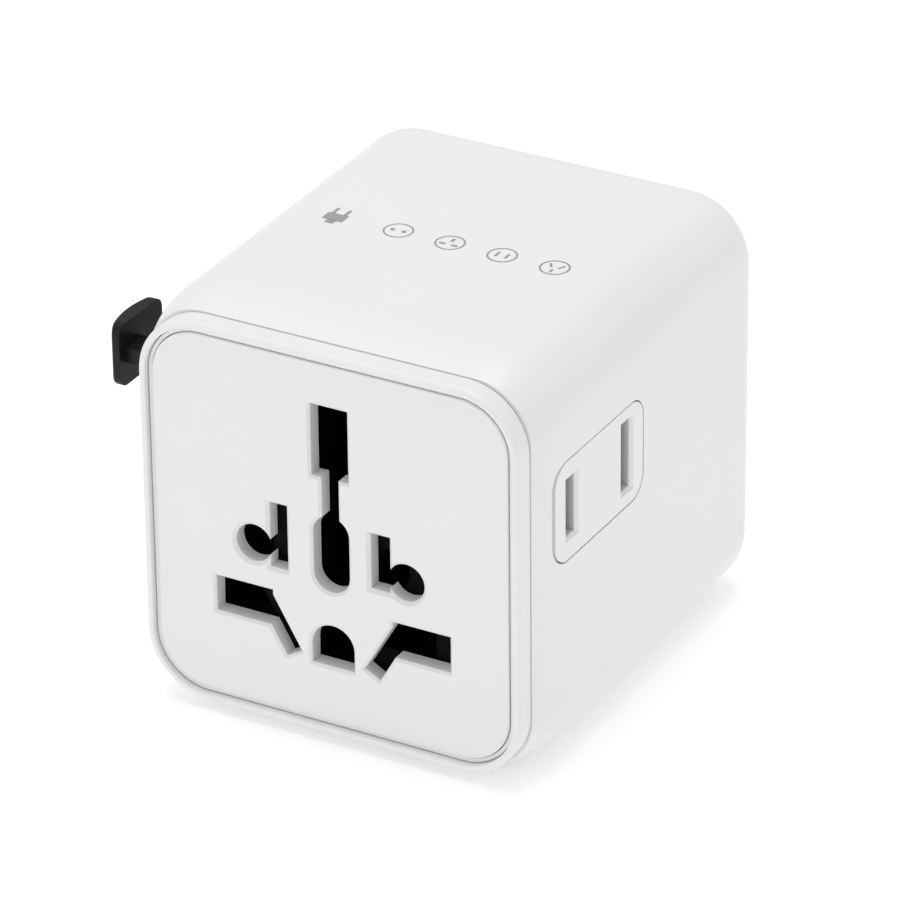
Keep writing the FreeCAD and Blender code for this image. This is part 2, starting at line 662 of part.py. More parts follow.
def make_line_contact(name, sign):
    """Sprung leaves either side of the UK, EU and US pins, on one base strip."""
    base_front, base_rear = d.block_rear - 0.7, d.block_rear
    leaves = (base_rear - 13.2, base_rear)
    uk_top = d.uk_line_level + d.uk_line_height / 2 + 0.25
    uk_bottom = d.uk_line_level - d.uk_line_height / 2 - 0.25
    pieces = [
        span(mirrored(sign, 4.9, 14.9), (base_front, base_rear), (-14.0, 2.8)),
        span(mirrored(sign, 8.2, 14.2), leaves, (uk_top, uk_top + 0.45)),
        span(mirrored(sign, 8.2, 14.2), leaves, (uk_bottom - 0.45, uk_bottom)),
        span(mirrored(sign, 4.6, 5.0), leaves, (-3.6, 2.4)),
        span(mirrored(sign, 12.15, 12.6), leaves, (-4.2, 0.0)),
    ]
    finish_node(fuse(*pieces), name)


def make_earth_contact():
    base_front, base_rear = d.block_rear - 0.7, d.block_rear
    leaves = (base_rear - 13.2, base_rear)
    pieces = [span((-4.0, 4.0), (base_front, base_rear), (-14.8, 17.0))]
    for sign in (1, -1):
        pieces.append(span(mirrored(sign, 2.65, 3.05), leaves, (9.4, 15.6)))
        pieces.append(span(mirrored(sign, 2.9, 3.3), leaves, (-14.6, -10.8)))
    finish_node(fuse(*pieces), "earth_contact")


def rail_places():
    """Middle x, low z and high z of the strip beside each plug's pins, on the right."""
    return {"uk": (6.4, -9.0, -7.0), "eu": (6.2, -4.2, -1.0), "us": (9.8, 3.0, 6.2),
            "earth": (3.5, 12.9, 14.9)}


def rail_strip(plug, sign):
    x, low, high = rail_places()[plug]
    half = d.rail_thickness / 2
    return span(mirrored(sign, x - half, x + half), (d.rail_front, d.rail_end), (low, high))


def make_rails():
    """The strips that carry current to the pins wherever their carriages stand."""
    strap_depth = (d.rail_front, d.rail_front + d.rail_thickness)
    for name, sign in (("live_rails", 1), ("neutral_rails", -1)):
        strap = span(mirrored(sign, 5.9, 10.1), strap_depth, (-9.0, 6.2))
        finish_node(fuse(strap, *(rail_strip(plug, sign) for plug in ("uk", "eu", "us"))), name)
    strap = span((-2.0, 3.8), strap_depth, (11.6, 16.0))
    finish_node(fuse(strap, rail_strip("earth", 1)), "earth_rail")


def rail_slots(plug, y):
    """Clearance slots for the rails that pass through a wall or a carriage."""
    x, low, high = rail_places()[plug]
    half = d.rail_thickness / 2 + d.rail_gap
    signs = (1,) if plug == "earth" else (1, -1)
    return [span(mirrored(sign, x - half, x + half), y, (low - d.rail_gap, high + d.rail_gap))
            for sign in signs]


def make_side_outlet():
    insert = new_body("side_socket_insert")
    face_x = d.body_width / 2
    gap = d.side_gap * 2
    face = facing_right(insert, "insert_face", d.side_centre, d.side_level, face_x - d.side_recess)
    draw_rounded_rectangle(face, d.side_length - gap, d.side_height - gap, d.side_radius - d.side_gap)
    extrude(insert, face, "Pad", face_x - d.side_recess - d.cavity_width / 2 + 0.2, True)
    flange = facing_right(insert, "insert_flange", d.side_centre, d.side_level, d.cavity_width / 2 - 0.15)
    grow = d.side_flange * 2
    draw_rounded_rectangle(flange, d.side_length + grow, d.side_height + grow, d.side_radius)
    extrude(insert, flange, "Pad", d.side_flange_thickness, True)
    for name, shift, height in (("front", -d.side_pitch / 2, d.side_live_height),
                                ("rear", d.side_pitch / 2, d.side_neutral_height)):
        slot = facing_right(insert, f"insert_{name}_slot", d.side_centre + shift, d.side_slot_level,
                            face_x + 1)
        draw_rectangle(slot, d.side_slot_width, height)
        last = cut_left(insert, slot, 6)
    reach = d.side_pitch.value / 2 + d.side_slot_width.value

    def slot_mouth(edge):
        box = edge.BoundBox
        on_face = abs(box.XMin - (face_x - d.side_recess).value) < 1e-4
        inside = abs(box.Center.y - d.side_centre.value) < reach
        return on_face and inside and abs(box.Center.z - d.side_slot_level.value) < 5

    round_edges(insert, last, d.side_bevel, slot_mouth, "Chamfer")
    finish_node(insert, "side_socket_insert")
    for name, shift in (("side_live_contact", -d.side_pitch / 2),
                        ("side_neutral_contact", d.side_pitch / 2)):
        y = d.side_centre + shift
        height = (d.side_slot_level - 2.7, d.side_slot_level + 2.7)
        near, far = d.side_slot_width / 2 + 0.1, d.side_slot_width / 2 + 0.35
        pieces = [span((7.4, 8.0), (y - far, y + far), height),
                  span((7.4, 21.0), (y - far, y - near), height),
                  span((7.4, 21.0), (y + near, y + far), height)]
        finish_node(fuse(*pieces), name)


# ---------------------------------------------------------------- bulkhead and back

def column_places():
    return [(x, level) for x, level in
            ((d.upper_column_x, d.upper_column_level), (-d.upper_column_x, d.upper_column_level),
             (d.lower_column_x, d.lower_column_level), (-d.lower_column_x, d.lower_column_level))]


def make_bulkhead():
    """The wall behind the socket, notched for the side outlet and for the UK plug's arm, with four
    columns that the back plate is screwed to."""
    front, rear = d.bulkhead_front, d.bulkhead_front + d.bulkhead_thickness
    half = d.bulkhead_width / 2
    wall = soften(span((-half, half), (front, rear), (-half, half)), 5.3, is_depth_edge)
    columns = [rod(x, rear - 0.5, z, d.column_radius, d.body_depth - d.rear_wall - rear + 0.5)
               for x, z in column_places()]
    head_top = d.uk_knob_level + d.head_height / 2 + 0.4
    passage = span((-half - 1, d.head_inner_x + 0.4), (front - 1, rear + 1),
                   (d.uk_knob_level - d.head_height / 2 - 0.4, head_top))
    flange_x = d.cavity_width / 2 - 0.15 - d.side_flange_thickness
    flange_half = d.side_height / 2 + d.side_flange
    side_notch = span((flange_x - 0.3, half + 1), (front - 1, rear + 1),
                      (d.side_level - flange_half - 0.3, d.side_level + flange_half + 0.3))
    hole_start = d.body_depth - d.rear_wall - d.screw_length
    holes = [rod(x, hole_start, z, d.screw_radius + 0.02, d.screw_length + 1) for x, z in column_places()]
    slots = [slot for plug in rail_places() for slot in rail_slots(plug, (front - 1, rear + 1))]
    finish_node(cut(fuse(wall, *columns), passage, side_notch, *holes, *slots), "bulkhead")


def is_depth_edge(edge):
    """True for straight edges that run front to back."""
    box = edge.BoundBox
    return box.YLength > 0.5 and box.XLength < 1e-4 and box.ZLength < 1e-4


def make_back_plate():
    body = new_body("back_plate")
    front = d.body_depth - d.rear_wall + 0.02
    outline = facing_front(body, "back_outline", 0, 0, front)
    draw_rounded_rectangle(outline, d.back_width, d.back_width, d.back_radius)
    pad_back(body, outline, d.back_thickness)
    through = d.back_thickness + 2
    grow = d.pin_gap * 2
    for side, x in both_sides(d.uk_pitch / 2):
        sketch = facing_front(body, f"back_uk_{side}", x, d.uk_line_plug_level, front - 1)
        draw_rectangle(sketch, d.uk_pin_width + grow, d.uk_pin_height + grow)
        cut_back(body, sketch, through)
    sketch = facing_front(body, "back_uk_earth", 0, d.uk_earth_plug_level, front - 1)
    draw_rectangle(sketch, d.uk_pin_height + grow, d.uk_earth_pin_height + grow)
    cut_back(body, sketch, through)
    for side, x in both_sides(d.eu_pitch / 2):
        sketch = facing_front(body, f"back_eu_{side}", x, d.eu_plug_level, front - 1)
        draw_circle(sketch, d.eu_pin_radius + d.pin_gap)
        cut_back(body, sketch, through)
    for side, x in both_sides(d.us_pitch / 2):
        lean = d.blade_turn.value if side == "neutral" else -d.blade_turn.value
        for country, angle in (("us", 0), ("au", lean)):
            sketch = facing_front(body, f"back_{country}_{side}", x, d.us_plug_level, front - 1, angle)
            draw_rectangle(sketch, d.blade_thickness + grow, d.blade_height + grow)
            cut_back(body, sketch, through)
    for i, (x, z) in enumerate(column_places()):
        sketch = facing_front(body, f"back_screw_{i}", x, z, front - 1)
        draw_circle(sketch, d.screw_radius + 0.15)
        cut_back(body, sketch, through)
        recess = facing_front(body, f"back_screw_recess_{i}", x, z, front + d.back_thickness - 1.3)
        draw_circle(recess, d.screw_head_radius + 0.15)
        cut_back(body, recess, 3)
    shank = facing_front(body, "back_fuse", 0, d.fuse_level, front - 1)
    draw_circle(shank, d.fuse_shank_radius + 0.05)
    cut_back(body, shank, through)
    recess = facing_front(body, "back_fuse_recess", 0, d.fuse_level, front + d.back_thickness - 1.4)
    draw_circle(recess, d.fuse_cap_radius + 0.1)
    cut_back(body, recess, 3)
    finish_node(body, "back_plate")


def make_back_screws():
    """Four cross-head screws in a group."""
    front = d.body_depth - d.rear_wall + 0.02 + d.back_thickness - 1.3
    screws = []
    for x, z in column_places():
        head = rod(x, front, z, d.screw_head_radius, d.screw_head_height)
        shank = rod(x, front - d.screw_length, z, d.screw_radius, d.screw_length + 0.1)
        top = front + d.screw_head_height
        cross = [block(x, top, z, 2.2, 1.2, 0.5), block(x, top, z, 0.5, 1.2, 2.2)]
        screws.append(cut(fuse(head, shank), *cross))
    finish_node(group(*screws), "back_screws")


# ---------------------------------------------------------------- fuse

def make_fuse():
    level = d.fuse_level
    end, base, wall = 5.0, 0.3, 0.25
    finish_node(group(rod(0, d.fuse_front, level, d.fuse_radius - wall, d.fuse_length)), "fuse_tube")
    cups = []
    rear_cup = d.fuse_front + d.fuse_length + base - end
    for cup_start in (d.fuse_front - base, rear_cup):
        cup = rod(0, cup_start, level, d.fuse_radius, end)
        core = rod(0, d.fuse_front, level, d.fuse_radius - wall, d.fuse_length)
        cups.append(cut(cup, core))
    finish_node(group(*cups), "fuse_end_caps")
    clip = cut(rod(0, d.bulkhead_front + d.bulkhead_thickness, level, d.fuse_radius + 0.5, 5.5),
               rod(0, d.fuse_front - base, level, d.fuse_radius, 6))
    slot = block(0, d.fuse_front + 3, level, 0.7, 6, 8)
    finish_node(cut(clip, slot), "fuse_clip")
    rear = d.body_depth - d.rear_wall + 0.02 + d.back_thickness - 1.4
    head = rod(0, rear, level, d.fuse_cap_radius, 1.3)
    shank = rod(0, rear - 7.5, level, d.fuse_shank_radius, 7.6)
    bore = rod(0, rear - 8.5, level, d.fuse_radius + 0.05, d.fuse_front + d.fuse_length + 0.35 - rear + 8.5)
    coin_slot = block(0, rear + 1.3, level, 6.0, 1.4, 1.1)
    finish_node(cut(fuse(head, shank), bore, coin_slot), "fuse_cap")


# ---------------------------------------------------------------- plug carriages

def carriage_span():
    return (d.carriage_front, d.carriage_front + d.carriage_thickness)


def knob_places():
    """Name, height and the front end of the knob at rest, for each plug."""
    return [("uk", d.uk_knob_level, d.uk_knob_front), ("us", d.us_knob_level, d.rear_knob_front),
            ("eu", d.eu_knob_level, d.rear_knob_front)]


def knob_head(level, front):
    """The part of a carriage that holds a knob's stem, and the pocket for stem and spring."""
    middle = front + d.stem_set_back + d.stem_length / 2
    half = d.head_height / 2
    head = span((d.head_outer_x, d.head_inner_x), (middle - d.head_depth / 2, middle + d.head_depth / 2),
                (level - half, level + half))
    pocket = block((d.head_outer_x + d.head_inner_x - 1.4) / 2, middle, level,
                   d.head_inner_x - d.head_outer_x - 0.6, d.stem_length + 0.2, d.stem_height + 0.2)
    return head, pocket


def make_uk_carriage():
    y = carriage_span()
    line, earth = d.uk_line_plug_level, d.uk_earth_plug_level
    bar_top = line + d.uk_pin_height / 2 + 0.7
    right = (13.3, 16.6)
    pieces = [span((-15.5, right[1]), y, (line - 1.1, bar_top)),
              span(right, y, (line - 1.1, 15.4)),
              span((d.head_outer_x, right[1]), y, (12.4, 15.4)),
              span((-3.0, 4.5), y, (earth - 4.7, earth + 4.8))]
    for side, x in both_sides(d.uk_pitch / 2):
        pieces.append(block(x, y[0] + d.carriage_thickness / 2, line, 8.2, d.carriage_thickness, 5.4))
    head, pocket = knob_head(d.uk_knob_level, d.uk_knob_front)
    arm_start = d.uk_knob_front + d.stem_set_back
    arm = span((d.head_outer_x, -20.0), (arm_start, y[1]), (d.uk_knob_level - 1.5, 15.4))
    through = (y[0] - 1, y[1] + 1)
    holes = [block(x, y[0] + 2.5, line, d.uk_pin_width, 9, d.uk_pin_height)
             for _, x in both_sides(d.uk_pitch / 2)]
    holes.append(block(0, y[0] + 2.5, earth, d.uk_pin_height, 9, d.uk_earth_pin_height))
    corner = span((15.1, 17), through, (13.9, 16))
    slots = rail_slots("uk", through) + rail_slots("earth", through)
    finish_node(cut(fuse(*pieces, arm, head), pocket, corner, *holes, *slots), "uk_carriage")


def make_eu_carriage():
    y = carriage_span()
    middle = y[0] + d.carriage_thickness / 2
    body = span((-d.lane_half, d.lane_half), y, (d.eu_plug_level - 3.1, d.eu_plug_level + 3.1))
    head, pocket = knob_head(d.eu_knob_level, d.rear_knob_front)
    arm = span((d.head_inner_x - 0.5, -d.lane_half + 0.5), y,
               (d.eu_plug_level - 3.1, d.eu_plug_level + 0.6))
    holes = [rod(x, y[0] - 1, d.eu_plug_level, d.eu_pin_radius, 8) for _, x in both_sides(d.eu_pitch / 2)]
    lightening = block(0, middle, d.eu_plug_level, 7.0, 9, 3.2)
    slots = rail_slots("eu", (y[0] - 1, y[1] + 1))
    finish_node(cut(fuse(body, arm, head), pocket, lightening, *holes, *slots), "eu_carriage")


def make_us_carriage():
    y = carriage_span()
    middle = y[0] + d.carriage_thickness / 2
    half = 3.7
    body = span((-d.lane_half, d.lane_half), y, (d.us_plug_level - half, d.us_plug_level + half))
    head, pocket = knob_head(d.us_knob_level, d.rear_knob_front)
    arm = span((d.head_inner_x - 0.5, -d.lane_half + 0.5), y,
               (d.us_knob_level - 1.8, d.us_knob_level + 1.8))
    bores = [rod(x, y[0] - 1, d.us_plug_level, d.blade_hub_radius + d.running_gap, 8)
             for _, x in both_sides(d.us_pitch / 2)]
    lightening = block(0, middle, d.us_plug_level, 6.0, 9, 4.0)
    slots = rail_slots("us", (y[0] - 1, y[1] + 1))
    finish_node(cut(fuse(body, arm, head), pocket, lightening, *bores, *slots), "us_carriage")


def make_uk_pins():
    """Two flat line pins with insulating sleeves at the root, and the bare earth pin."""
    y0, tip = d.carriage_front + 0.5, d.body_depth + d.uk_plug_out - d.plug_travel
    root = d.carriage_front + d.carriage_thickness
    sleeve_wall, sleeve_end = 0.4, root + 9.0
    level = d.uk_line_plug_level
    pins, sleeves = [], []
    for _, x in both_sides(d.uk_pitch / 2):
        pin_x = (x - d.uk_pin_width / 2, x + d.uk_pin_width / 2)
        pin_z = (level - d.uk_pin_height / 2, level + d.uk_pin_height / 2)
        bevelled = soften(span(pin_x, (y0, tip), pin_z), 0.9, at_depth(tip), "Chamfer")
        outer = span(pin_x, (root, sleeve_end), pin_z)
        core = span((pin_x[0] + sleeve_wall, pin_x[1] - sleeve_wall), (root - 1, sleeve_end + 1),
                    (pin_z[0] + sleeve_wall, pin_z[1] - sleeve_wall))
        tube = cut(outer, core)
        sleeves.append(tube)
        pins.append(cut(bevelled, tube))
    finish_node(group(*pins), "uk_line_pins")
    finish_node(group(*sleeves), "uk_line_sleeves")
    blank = span((-d.uk_pin_height / 2, d.uk_pin_height / 2), (y0, tip),
                 (d.uk_earth_plug_level - d.uk_earth_pin_height / 2,
                  d.uk_earth_plug_level + d.uk_earth_pin_height / 2))
    finish_node(soften(blank, 0.9, at_depth(tip), "Chamfer"), "uk_earth_pin")


def make_eu_pins():
    """Two round pins with hemispherical tips and insulating sleeves at the root."""
    y0, tip = d.carriage_front + 0.5, d.body_depth + d.eu_plug_out - d.plug_travel
    root = d.carriage_front + d.carriage_thickness
    pins, sleeves = [], []
    for _, x in both_sides(d.eu_pitch / 2):
        pin = soften(rod(x, y0, d.eu_plug_level, d.eu_pin_radius, tip - y0), 1.6, at_depth(tip))
        tube = cut(rod(x, root, d.eu_plug_level, d.eu_pin_radius, 10),
                   rod(x, root - 1, d.eu_plug_level, d.eu_pin_radius - 0.35, 12))
        pins.append(cut(pin, tube))
        sleeves.append(tube)
    finish_node(group(*pins), "eu_pins")
    finish_node(group(*sleeves), "eu_sleeves")


def make_us_blades():
    """Two flat blades, each on a round hub that turns in its carriage behind a retaining washer."""
    y, root = carriage_span()[0], carriage_span()[1] + 0.15
    tip = d.body_depth + d.us_plug_out - d.plug_travel
    washers = []
    for name, x in zip(("us_blade_left", "us_blade_right"), (-d.us_pitch / 2, d.us_pitch / 2)):
        level = d.us_plug_level
        blade = span((x - d.blade_thickness / 2, x + d.blade_thickness / 2), (root, tip),
                     (level - d.blade_height / 2, level + d.blade_height / 2))
        bevelled = soften(blade, 0.45, at_depth(tip), "Chamfer")
        hub = rod(x, y - 0.4, level, d.blade_hub_radius, root - y + 0.4)
        finish_node(fuse(hub, bevelled), name)
        washer = rod(x, y - 0.3, level, 2.6, 0.2)
        washers.append(cut(washer, rod(x, y - 1, level, d.blade_hub_radius + d.running_gap, 2)))
    finish_node(group(*washers), "us_blade_washers")


def make_knob(plug, level, front):
    """A thumb plate with a bulged outer face, on a stem that presses into the carriage."""
    body = new_body(plug + "_knob")
    outline = facing_right(body, f"{plug}_knob_outline", front + d.knob_length / 2, level, d.knob_inner_x)
    draw_rounded_rectangle(outline, d.knob_length, d.knob_height, d.knob_corner_radius)
    thickness = d.knob_edge + d.knob_bulge
    plate = extrude(body, outline, "Pad", thickness, True)
    bulge = sketch_on(body, f"{plug}_knob_bulge", "XY_Plane", 0, 0, level - d.knob_height / 2 - 1)
    draw_knob_bulge(bulge, front)
    extrude(body, bulge, "Pocket", d.knob_height + 2, True)
    stem = facing_right(body, f"{plug}_knob_stem", front + d.stem_set_back + d.stem_length / 2, level,
                        d.knob_inner_x - 0.5)
    draw_rectangle(stem, d.stem_length, d.stem_height)
    last = extrude(body, stem, "Pad", d.stem_end_x - d.knob_inner_x + 0.5, False)
    inner_x = d.knob_inner_x.value

    def outer_rim(edge):
        return edge.BoundBox.XMax < inner_x - 0.3 and edge.BoundBox.XLength < 1.2 and edge.Length > 1.2

    round_edges(body, last, d.knob_rim_radius, outer_rim)
    finish_node(body, plug + "_knob")


def draw_knob_bulge(sketch, front):
    """The waste outside the shallow arc of the thumb face, seen from above."""
    outer = d.knob_inner_x - d.knob_edge - d.knob_bulge
    edge = d.knob_inner_x - d.knob_edge
    rear = front + d.knob_length
    half, rise = d.knob_length.value / 2, d.knob_bulge.value
    radius = (half * half + rise * rise) / (2 * rise)
    centre = FreeCAD.Vector(outer.value + radius, front.value + half, 0)
    sweep = math.asin(half / radius)
    circle = Part.Circle(centre, FreeCAD.Vector(0, 0, 1), radius)
    arc = sketch.addGeometry(Part.ArcOfCircle(circle, math.pi - sweep, math.pi + sweep))
    x0, y0, y1 = outer.value - 1, front.value, rear.value
    high = draw_line(sketch, (edge.value, y1), (x0, y1))
    side = draw_line(sketch, (x0, y1), (x0, y0))
    low = draw_line(sketch, (x0, y0), (edge.value, y0))
    for link in ((arc, 1, high, 1), (high, 2, side, 1), (side, 2, low, 1), (low, 2, arc, 2)):
        constrain(sketch, "Coincident", *link)
    constrain(sketch, "Horizontal", high)
    constrain(sketch, "Horizontal", low)
    constrain(sketch, "Vertical", side)
    constrain(sketch, "DistanceX", -1, 1, arc, 1, edge.value, size=edge)
    constrain(sketch, "DistanceX", -1, 1, arc, 2, edge.value, size=edge)
    constrain(sketch, "DistanceY", -1, 1, arc, 1, y1, size=rear)
    constrain(sketch, "DistanceY", -1, 1, arc, 2, y0, size=front)
    constrain(sketch, "DistanceX", -1, 1, side, 1, x0, size=outer - 1)
    constrain(sketch, "Radius", arc, radius,
              size=(d.knob_length * d.knob_length / 4 + d.knob_bulge * d.knob_bulge) / (d.knob_bulge * 2))


def make_knob_spring(plug, level, front):
    middle = front + d.stem_set_back + d.stem_length / 2
    length = d.head_inner_x - 1.0 - d.stem_end_x
    finish_node(group(coil(d.stem_end_x, middle, level, 0.62, 0.13, length, 3)), plug + "_knob_spring")


def make_plugs():
    make_uk_carriage()
    make_uk_pins()
    make_eu_carriage()
    make_eu_pins()
    make_us_carriage()
    make_us_blades()
    for plug, level, front in knob_places():
        make_knob(plug, level, front)
        make_knob_spring(plug, level, front)


# ---------------------------------------------------------------- build, check and write

def check_document():
    """Stop if any feature failed or any piece is missing or broken."""
    for obj in doc.Objects:
        if any(word in obj.State for word in ("Invalid", "Error")):
            raise RuntimeError(f"{obj.Name} ({obj.Label}) failed: {obj.State}")
    for node in NODES:
        if node.Shape.isNull() or not node.Shape.isValid() or not node.Shape.Solids:
            raise RuntimeError(f"{node.Label} has no valid solid")


def write_steps():
    os.makedirs("parts", exist_ok=True)
    for node in NODES:
        node.Shape.exportStep(f"parts/{node.Label}.step")
        print(f"{node.Label:24s} {len(node.Shape.Solids)} solids {node.Shape.Volume:9.1f} mm3")


fill_sheet()
make_body_shell()
make_front_ring()
make_socket_plate()
make_safety_shutter()
make_shutter_spring()
make_socket_block()
make_line_contact("live_contact", 1)
make_line_contact("neutral_contact", -1)
make_earth_contact()
make_rails()
make_side_outlet()
make_bulkhead()
make_back_plate()
make_back_screws()
make_fuse()
make_plugs()
doc.recompute()
check_document()
write_steps()
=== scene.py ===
"""Looks for the universal travel adapter: plastics, metals, printed plug pictograms and studio light."""
import json
import math

import bmesh
import bpy
from mathutils import Matrix, Vector


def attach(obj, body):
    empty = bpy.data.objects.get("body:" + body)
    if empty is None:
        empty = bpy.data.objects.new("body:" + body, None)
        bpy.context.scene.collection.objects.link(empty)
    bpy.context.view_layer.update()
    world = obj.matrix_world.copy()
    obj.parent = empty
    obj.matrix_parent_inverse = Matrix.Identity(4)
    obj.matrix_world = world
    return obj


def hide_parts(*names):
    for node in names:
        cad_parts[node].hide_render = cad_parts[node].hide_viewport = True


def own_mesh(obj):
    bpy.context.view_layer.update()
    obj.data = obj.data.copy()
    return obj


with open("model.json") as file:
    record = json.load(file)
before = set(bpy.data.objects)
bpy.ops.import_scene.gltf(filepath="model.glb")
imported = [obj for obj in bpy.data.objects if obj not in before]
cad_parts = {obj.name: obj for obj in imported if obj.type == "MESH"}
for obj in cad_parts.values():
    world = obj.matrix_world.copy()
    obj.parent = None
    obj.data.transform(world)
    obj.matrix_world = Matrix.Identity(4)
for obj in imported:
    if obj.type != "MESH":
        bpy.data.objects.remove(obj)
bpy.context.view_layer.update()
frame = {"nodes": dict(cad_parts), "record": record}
NODES = frame["nodes"]
MM = 0.001

# ---------------------------------------------------------------- shader helpers


class Shader:
    """A small builder for one node material that ends in a Principled BSDF."""

    def __init__(self, name):
        self.material = bpy.data.materials.new(name)
        self.material.use_nodes = True
        self.tree = self.material.node_tree
        self.tree.nodes.clear()
        self.output = self.add("ShaderNodeOutputMaterial")
        self.bsdf = self.add("ShaderNodeBsdfPrincipled")
        self.link(self.bsdf.outputs["BSDF"], self.output.inputs["Surface"])
        self.coords = self.add("ShaderNodeTexCoord").outputs["Object"]

    def add(self, kind, **settings):
        node = self.tree.nodes.new(kind)
        for key, value in settings.items():
            setattr(node, key, value)
        return node

    def link(self, source, target):
        self.tree.links.new(source, target)

    def set(self, **values):
        for key, value in values.items():
            self.bsdf.inputs[key.replace("_", " ")].default_value = value

    def scaled(self, scale):
        """Object coordinates stretched by a factor on each axis."""
        mapping = self.add("ShaderNodeMapping")
        mapping.inputs["Scale"].default_value = scale
        self.link(self.coords, mapping.inputs["Vector"])
        return mapping.outputs["Vector"]

    def noise(self, scale, detail=2.0, roughness=0.5, vector=None):
        """Noise whose features are about 1/scale metres across."""
        node = self.add("ShaderNodeTexNoise")
        node.inputs["Scale"].default_value = scale
        node.inputs["Detail"].default_value = detail
        node.inputs["Roughness"].default_value = roughness
        self.link(vector or self.coords, node.inputs["Vector"])
        return node.outputs["Fac"]

    def spread(self, value, low, high, start=0.3, end=0.7):
        """Map a value from start..end to low..high."""
        node = self.add("ShaderNodeMapRange")
        for key, number in (("From Min", start), ("From Max", end), ("To Min", low), ("To Max", high)):
            node.inputs[key].default_value = number
        self.link(value, node.inputs["Value"])
        return node.outputs["Result"]

    def blend(self, factor, first, second):
        node = self.add("ShaderNodeMix", data_type="RGBA")
        node.inputs["A"].default_value = (*first, 1)
        node.inputs["B"].default_value = (*second, 1)
        self.link(factor, node.inputs["Factor"])
        return node.outputs["Result"]

    def bump(self, height, distance, strength=1.0, under=None):
        node = self.add("ShaderNodeBump")
        node.inputs["Distance"].default_value = distance
        node.inputs["Strength"].default_value = strength
        self.link(height, node.inputs["Height"])
        if under is not None:
            self.link(under, node.inputs["Normal"])
        return node.outputs["Normal"]


def painted_slot_shade(s, colour):
    """Painted shade: turn a colour darker from the face of the side outlet down into its slots, standing in
    for the occlusion shade there.
    """
    deepest, face = 22.6 * MM, 24.5 * MM
    split = s.add("ShaderNodeSeparateXYZ")
    s.link(s.coords, split.inputs["Vector"])
    mix = s.add("ShaderNodeMix", data_type="RGBA")
    # painted shade: the dark colour deep in the slots
    mix.inputs["A"].default_value = (0.30, 0.30, 0.31, 1)
    s.link(s.spread(split.outputs["X"], 0.0, 1.0, deepest, face), mix.inputs["Factor"])
    s.link(colour, mix.inputs["B"])
    return mix.outputs["Result"]


def moulded_plastic(name, light, dark, roughness, grain_mm=0.09, grain_depth_mm=0.004, flow=0.02, level=0.5,
                    paint_slot_shade=False):
    """Injection moulded plastic: a fine eroded grain, a slow change of gloss and a faint flow of colour, plus
    painted shade down the side outlet's slots when asked.
    """
    s = Shader(name)
    s.set(IOR=1.5, Specular_IOR_Level=level)
    broad = s.noise(55, 3.0, 0.55)
    speckle = s.noise(1 / (grain_mm * 3 * MM), 2.0, 0.6)
    colour = s.blend(s.spread(broad, 0.0, 1.0), light, dark)
    # painted shade down the slots of the side outlet
    if paint_slot_shade:
        colour = painted_slot_shade(s, colour)
    s.link(colour, s.bsdf.inputs["Base Color"])
    s.link(s.spread(speckle, roughness - flow, roughness + flow), s.bsdf.inputs["Roughness"])
    wave = s.bump(s.noise(130, 1.0), 0.02 * MM, 0.6)
    grain = s.bump(s.noise(1 / (grain_mm * MM), 3.0, 0.6), grain_depth_mm * MM, 1.0, wave)
    s.link(grain, s.bsdf.inputs["Normal"])
    return s.material


def metal(name, light, dark, roughness, grain_scale, tarnish=0.06):
    """Stamped or plated metal: fine drawing lines along one axis and a slow change of polish."""
    s = Shader(name)
    s.set(Metallic=1.0)
    lines = s.noise(1, 2.0, 0.5, s.scaled(grain_scale))
    cloud = s.noise(240, 3.0, 0.6)
    s.link(s.blend(s.spread(cloud, 0.0, 1.0), light, dark), s.bsdf.inputs["Base Color"])
    s.link(s.spread(cloud, roughness, roughness + tarnish), s.bsdf.inputs["Roughness"])
    s.link(s.bump(lines, 0.004 * MM, 0.7), s.bsdf.inputs["Normal"])
    return s.material


WHITE_SHELL = moulded_plastic("white_shell_plastic", (0.86, 0.86, 0.862), (0.845, 0.845, 0.848), 0.38)
WHITE_FACE = moulded_plastic("white_face_plastic", (0.85, 0.85, 0.853), (0.838, 0.838, 0.842), 0.42,
                             grain_mm=0.07, grain_depth_mm=0.003)
# the side outlet's plastic, with painted shade darkening its slots
SIDE_OUTLET_PAINTED_SHADE = moulded_plastic("side_outlet_plastic_painted_shade", (0.86, 0.86, 0.862), (0.845, 0.845, 0.848), 0.38,
                              paint_slot_shade=True)
BLACK_INNER = moulded_plastic("black_inner_plastic", (0.0025, 0.0025, 0.003), (0.0015, 0.0015, 0.002), 0.7,
                              level=0.08)
BLACK_KNOB = moulded_plastic("black_knob_plastic", (0.008, 0.008, 0.009), (0.005, 0.005, 0.006), 0.40,
                             grain_mm=0.12, grain_depth_mm=0.006, flow=0.04, level=0.22)
GREY_PRINT = moulded_plastic("grey_print_ink", (0.36, 0.36, 0.37), (0.31, 0.31, 0.32), 0.55)
BLACK_SLEEVE = moulded_plastic("black_sleeve_plastic", (0.02, 0.02, 0.021), (0.012, 0.012, 0.013), 0.45)
GREY_FRAME = moulded_plastic("grey_carriage_plastic", (0.33, 0.33, 0.335), (0.29, 0.29, 0.295), 0.5)
CERAMIC = moulded_plastic("fuse_ceramic", (0.78, 0.76, 0.70), (0.72, 0.70, 0.64), 0.3)
BRASS = metal("brass_strip", (0.78, 0.57, 0.24), (0.66, 0.46, 0.18), 0.26, (3000, 3000, 150))
NICKEL = metal("nickel_plate", (0.74, 0.72, 0.68), (0.66, 0.64, 0.60), 0.17, (6000, 200, 6000))
STEEL = metal("zinc_steel", (0.60, 0.60, 0.61), (0.50, 0.50, 0.52), 0.28, (2500, 2500, 2500))

